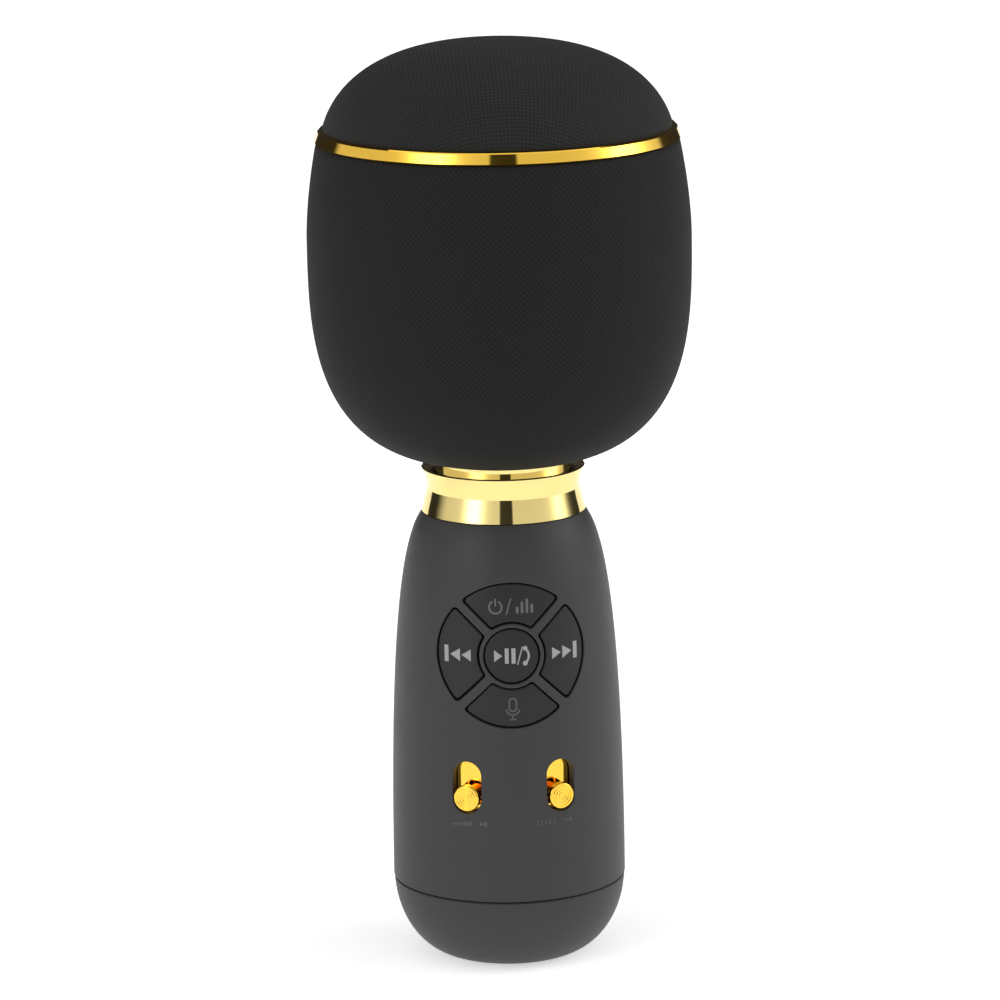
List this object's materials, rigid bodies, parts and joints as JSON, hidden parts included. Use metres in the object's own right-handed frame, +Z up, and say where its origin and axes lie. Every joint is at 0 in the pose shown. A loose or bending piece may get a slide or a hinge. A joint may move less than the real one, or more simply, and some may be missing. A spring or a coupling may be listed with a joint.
{
  "type": "karaoke microphone",
  "caption": "Handheld microphone with a fabric-covered loudspeaker head, gold trim ring and neck, waisted grey handle, a round cross of keys and two slide controls.",
  "frame": {"origin": "middle of the base, on the surface the microphone stands on", "axes": "+Z up the handle's axis to the head, keys and sliders face -Y, sockets face +Y"},
  "size_m": [0.09, 0.09, 0.219],
  "materials": {
    "soft_touch": "soft-touch matt paint",
    "key_plastic": "satin moulded keys with printed symbols",
    "gold_trim": "polished gold plating",
    "body_cloth": "plain weave laid on the bias",
    "dome_cloth": "plain weave laid square",
    "grille_plastic": "moulded",
    "inner_plastic": "moulded",
    "switch_plunger": "moulded",
    "rubber": "matt",
    "foam": "open-cell foam",
    "circuit_board": "solder mask",
    "steel": "zinc plated",
    "ferrite": "ground ferrite",
    "cone_paper": "pressed paper",
    "copper": "enamelled copper wire",
    "capsule_metal": "turned",
    "cell_wrap": "shrink sleeve",
    "wire_sleeve": "smooth sleeve"
  },
  "bodies": {
    "housing": {"aux_jack": "inner_plastic", "baffle_plate": "grille_plastic", "base_pad": "rubber", "battery_cell": "cell_wrap", "battery_foam": "foam", "battery_straps": "steel", "board_components": "inner_plastic", "board_screws": "steel", "body_fabric": "body_cloth", "bottom_cap": "soft_touch", "cap_screws": "steel", "capsule_grommet": "rubber", "capsule_holder": "grille_plastic", "capsule_lead": "wire_sleeve", "charge_port": "steel", "collar_gasket": "rubber", "dome_fabric": "dome_cloth", "dome_grille": "grille_plastic", "grille_basket": "grille_plastic", "handle_shell": "soft_touch", "head_screws": "steel", "inner_chassis": "inner_plastic", "key_guide": "inner_plastic", "main_board": "circuit_board", "mic_capsule": "capsule_metal", "neck_collar": "gold_trim", "neck_nut": "grille_plastic", "neck_tube": "grille_plastic", "port_board": "circuit_board", "slide_pots": "inner_plastic", "slider_boards": "circuit_board", "speaker_enclosure": "grille_plastic", "speaker_frame": "steel", "speaker_gasket": "rubber", "speaker_leads": "wire_sleeve", "speaker_magnet": "ferrite", "speaker_top_plate": "steel", "speaker_yoke": "steel", "spider": "cone_paper", "surround": "rubber", "tact_switches": "inner_plastic", "trim_ring": "gold_trim", "windscreen_foam": "foam"},
    "button_power_mode": {"key_power_mode": "key_plastic", "plunger_power_mode": "switch_plunger"},
    "button_previous": {"key_previous": "key_plastic", "plunger_previous": "switch_plunger"},
    "button_voice": {"key_voice": "key_plastic", "plunger_voice": "switch_plunger"},
    "button_next": {"key_next": "key_plastic", "plunger_next": "switch_plunger"},
    "button_play_call": {"key_play_call": "key_plastic", "plunger_play_call": "switch_plunger"},
    "slider_left": {"slider_knob_left": "gold_trim", "pot_lever_left": "switch_plunger"},
    "slider_right": {"slider_knob_right": "gold_trim", "pot_lever_right": "switch_plunger"},
    "cone": {"speaker_cone": "cone_paper", "voice_coil": "copper", "dust_cap": "cone_paper"}
  },
  "joints": [
    {"name": "press_power_mode", "type": "slide", "parent": "housing", "child": "button_power_mode", "axis": [0, 1, 0], "range_m": [0, 0.0006], "stiffness_N_per_m": 1500},
    {"name": "press_previous", "type": "slide", "parent": "housing", "child": "button_previous", "axis": [0, 1, 0], "range_m": [0, 0.0006], "stiffness_N_per_m": 1500},
    {"name": "press_voice", "type": "slide", "parent": "housing", "child": "button_voice", "axis": [0, 1, 0], "range_m": [0, 0.0006], "stiffness_N_per_m": 1500},
    {"name": "press_next", "type": "slide", "parent": "housing", "child": "button_next", "axis": [0, 1, 0], "range_m": [0, 0.0006], "stiffness_N_per_m": 1500},
    {"name": "press_play_call", "type": "slide", "parent": "housing", "child": "button_play_call", "axis": [0, 1, 0], "range_m": [0, 0.0006], "stiffness_N_per_m": 1500},
    {"name": "slide_left", "type": "slide", "parent": "housing", "child": "slider_left", "axis": [0, 0, 1], "range_m": [0, 0.005]},
    {"name": "slide_right", "type": "slide", "parent": "housing", "child": "slider_right", "axis": [0, 0, 1], "range_m": [0, 0.005]},
    {"name": "cone_stroke", "type": "slide", "parent": "housing", "child": "cone", "axis": [0, 0, 1], "range_m": [-0.0012, 0.0012], "stiffness_N_per_m": 1200, "deforming": ["surround", "spider"]}
  ]
}
